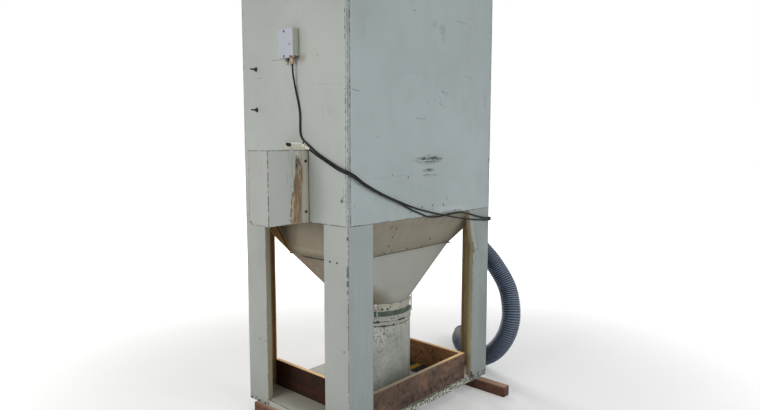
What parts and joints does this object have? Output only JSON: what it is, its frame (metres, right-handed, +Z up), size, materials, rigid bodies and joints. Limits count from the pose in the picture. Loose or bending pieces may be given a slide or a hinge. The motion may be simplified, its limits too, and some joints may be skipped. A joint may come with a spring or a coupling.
{
  "type": "cyclone separator cabinet",
  "caption": "Sheet-metal separator cabinet on folded legs, with a square-to-round hopper over a dust drum, a switch box, draped leads and a ribbed inlet hose.",
  "frame": {"origin": "centre of the footprint's box on the ground, without the leads and the hose", "axes": "+Z up; the wide wall with the crossing leads faces -Y; the narrow wall with the side box faces -X"},
  "size_m": [2.0388, 1.029, 2.512],
  "materials": {
    "wall_paint": "chalky grey-white paint with chips and rust at screws",
    "post_paint": "grey-white paint, chipped at the folds",
    "hopper_paint": "dusty grey paint with rust along the laps",
    "base_paint": "worn grey-white paint, chipped along the edges",
    "drum_paint": "stained grey-cream paint with runs and mottling",
    "seal_rubber": "matt, dusty",
    "latch_steel": "zinc-plated, dull",
    "mat_rubber": "black with yellow bars, dusty",
    "board_wood": "weathered sawn softwood",
    "bearer_wood": "dark damp timber",
    "switch_plastic": "white moulded plastic, dusty",
    "cleat_paint": "grey-white, rust-stained",
    "gland_brass": "tarnished",
    "gland_plastic": "pale grey nylon",
    "lead_black": "black sheath, slightly shiny",
    "sleeve_tape": "pale sleeve",
    "hose_grey": "ribbed blue-grey hose",
    "spigot_zinc": "galvanised sheet"
  },
  "bodies": {
    "root": {"post_front_left": "post_paint", "post_front_right": "post_paint", "post_back_left": "post_paint", "post_back_right": "post_paint", "front_wall": "wall_paint", "back_wall": "wall_paint", "left_wall": "wall_paint", "right_wall": "wall_paint", "roof": "wall_paint", "cabinet_floor": "wall_paint", "base_left_plate": "base_paint", "base_right_plate": "base_paint", "base_rails": "base_paint", "drum_floor": "base_paint", "floor_mat": "mat_rubber", "board_front": "board_wood", "board_left": "board_wood", "board_right": "board_wood", "bearer_left": "bearer_wood", "bearer_right": "bearer_wood", "hopper_front_plate": "hopper_paint", "hopper_back_plate": "hopper_paint", "hopper_left_plate": "hopper_paint", "hopper_right_plate": "hopper_paint", "hopper_seam_flange": "hopper_paint", "hopper_transition": "hopper_paint", "outlet_collar": "hopper_paint", "outlet_sleeve": "seal_rubber", "drum_lid": "drum_paint", "clamp_band": "drum_paint", "drum": "drum_paint", "toggle_latches": "latch_steel", "side_box": "wall_paint", "side_box_cleat": "cleat_paint", "cleat_plug": "lead_black", "lead_sleeve": "sleeve_tape", "switch_box": "switch_plastic", "switch_box_lid": "switch_plastic", "brass_gland": "gland_brass", "plastic_glands": "gland_plastic", "lead_upper": "lead_black", "lead_lower": "lead_black", "inlet_elbow": "spigot_zinc", "inlet_hose": "hose_grey", "hose_cuffs": "seal_rubber"}
  },
  "joints": []
}
